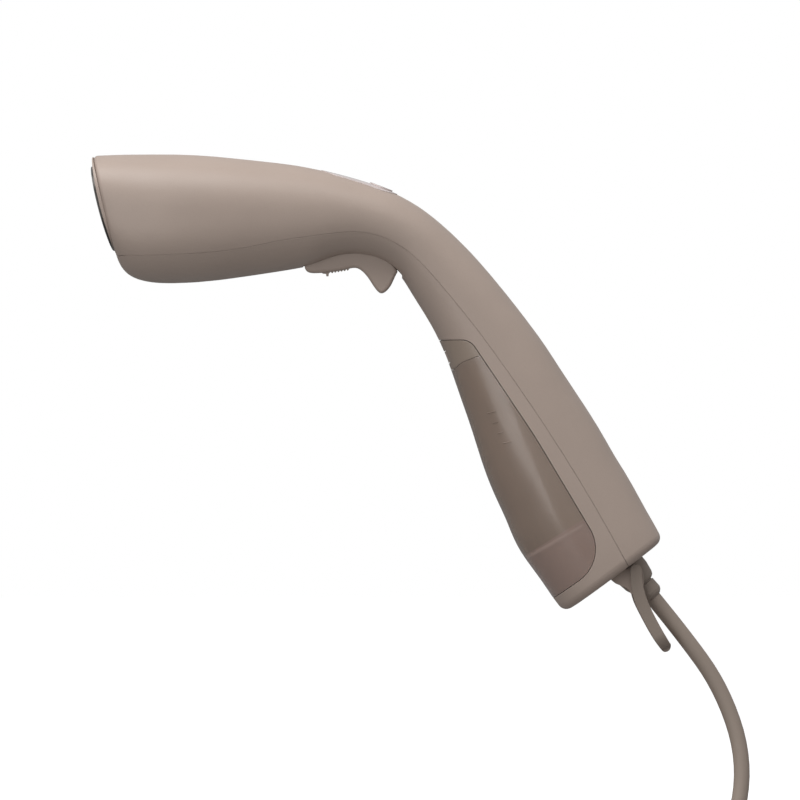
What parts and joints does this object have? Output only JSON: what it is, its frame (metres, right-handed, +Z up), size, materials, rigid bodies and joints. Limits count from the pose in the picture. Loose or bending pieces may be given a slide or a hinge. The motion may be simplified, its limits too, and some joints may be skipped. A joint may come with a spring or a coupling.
{
  "type": "garment steamer",
  "caption": "Hand-held garment steamer: wide steam head on a bent handle with a slide-off water tank, trigger, hanging loop and mains lead.",
  "frame": {"origin": "in the middle of the grip just behind the trigger, where a hand holds it", "axes": "+Z up with the steamer held in use, -X the way the steam leaves the head, the plane Y = 0 is its middle plane"},
  "size_m": [0.3519, 0.1474, 0.3701],
  "materials": {
    "shell_plastic": "fine satin moulded plastic",
    "cap_plastic": "satin, darker than the shells",
    "soft_plastic": "soft matte elastomer",
    "lens_plastic": "glossy",
    "plate_metal": "dark satin non-stick coat",
    "cast_aluminium": "as cast",
    "steel": "plain",
    "silicone": "translucent matt",
    "dark_plastic": "matt",
    "white_plastic": "matt",
    "clear_plastic": "clear",
    "board_laminate": "solder mask",
    "tank_plastic": "smoked translucent",
    "cord_sheath": "matt sheath",
    "tie_rubber": "matt",
    "nickel_pins": "nickel plate"
  },
  "bodies": {
    "housing": {"upper_shell": "shell_plastic", "lower_shell": "shell_plastic", "face_frame": "shell_plastic", "steam_plate": "plate_metal", "boiler_gasket": "silicone", "boiler_block": "cast_aluminium", "heating_element": "steel", "boiler_cover": "cast_aluminium", "boiler_screws": "steel", "heat_shield": "plate_metal", "thermostat": "dark_plastic", "thermal_fuse": "steel", "indicator_lens": "lens_plastic", "light_guide": "clear_plastic", "control_board": "board_laminate", "indicator_led": "clear_plastic", "button_switch": "dark_plastic", "board_parts": "dark_plastic", "trigger_pin": "steel", "trigger_spring": "steel", "trigger_switch": "dark_plastic", "pump_body": "dark_plastic", "pump_inlet": "white_plastic", "pump_outlet": "white_plastic", "pump_spring": "steel", "feed_tube": "silicone", "boiler_tube": "silicone", "tank_socket": "white_plastic", "socket_seal": "silicone", "cord_bush": "soft_plastic", "mains_lead": "cord_sheath", "cord_clamp": "white_plastic", "clamp_screws": "steel", "shell_screws": "steel", "loop_pins": "steel", "cord": "cord_sheath", "cord_coil": "cord_sheath", "cord_tie": "tie_rubber", "cord_tail": "cord_sheath", "plug_body": "soft_plastic", "plug_pins": "nickel_pins"},
    "trigger": {"trigger": "shell_plastic"},
    "steam_lock": {"lock_slider": "shell_plastic"},
    "power_button": {"power_button": "lens_plastic"},
    "tank": {"tank_shell": "tank_plastic", "tank_lid": "tank_plastic", "tank_cap": "cap_plastic", "latch_spring": "steel", "tank_spout": "white_plastic", "pickup_tube": "silicone", "pickup_filter": "steel"},
    "tank_latch": {"tank_latch": "shell_plastic"},
    "fill_plug": {"fill_plug": "silicone"},
    "pump_plunger": {"pump_plunger": "steel"},
    "hanging_loop": {"hanging_loop": "soft_plastic"}
  },
  "joints": [
    {"name": "trigger_pull", "type": "hinge", "parent": "housing", "child": "trigger", "pos_m": [-0.0615, 0, 0.0165], "axis": [0, -1, 0], "range_deg": [0, 6], "stiffness_Nm_per_rad": 0.6, "springref_deg": -8.59},
    {"name": "lock_slide", "type": "slide", "parent": "trigger", "child": "steam_lock", "axis": [-0.9925, 0, -0.1219], "range_m": [0, 0.004]},
    {"name": "power_press", "type": "slide", "parent": "housing", "child": "power_button", "axis": [-0.2966, 0, -0.955], "range_m": [0, 0.0008], "stiffness_N_per_m": 1500, "springref_m": -0.001},
    {"name": "tank_slide", "type": "slide", "parent": "housing", "child": "tank", "axis": [-0.84, 0, -0.5425], "range_m": [0, 0.045]},
    {"name": "latch_press", "type": "slide", "parent": "tank", "child": "tank_latch", "axis": [0.84, 0, 0.5425], "range_m": [0, 0.002], "stiffness_N_per_m": 800, "springref_m": -0.001, "deforming": ["latch_spring"]},
    {"name": "plug_pull", "type": "slide", "parent": "tank", "child": "fill_plug", "axis": [0.84, 0, 0.5425], "range_m": [0, 0.007]},
    {"name": "pump_stroke", "type": "slide", "parent": "housing", "child": "pump_plunger", "axis": [-0.587, 0, 0.8096], "range_m": [0, 0.002], "stiffness_N_per_m": 400, "springref_m": -0.001, "deforming": ["pump_spring"]},
    {"name": "loop_swing", "type": "hinge", "parent": "housing", "child": "hanging_loop", "pos_m": [0.0976, 0, -0.1422], "axis": [0, 1, 0], "range_deg": [-4, 58]}
  ]
}
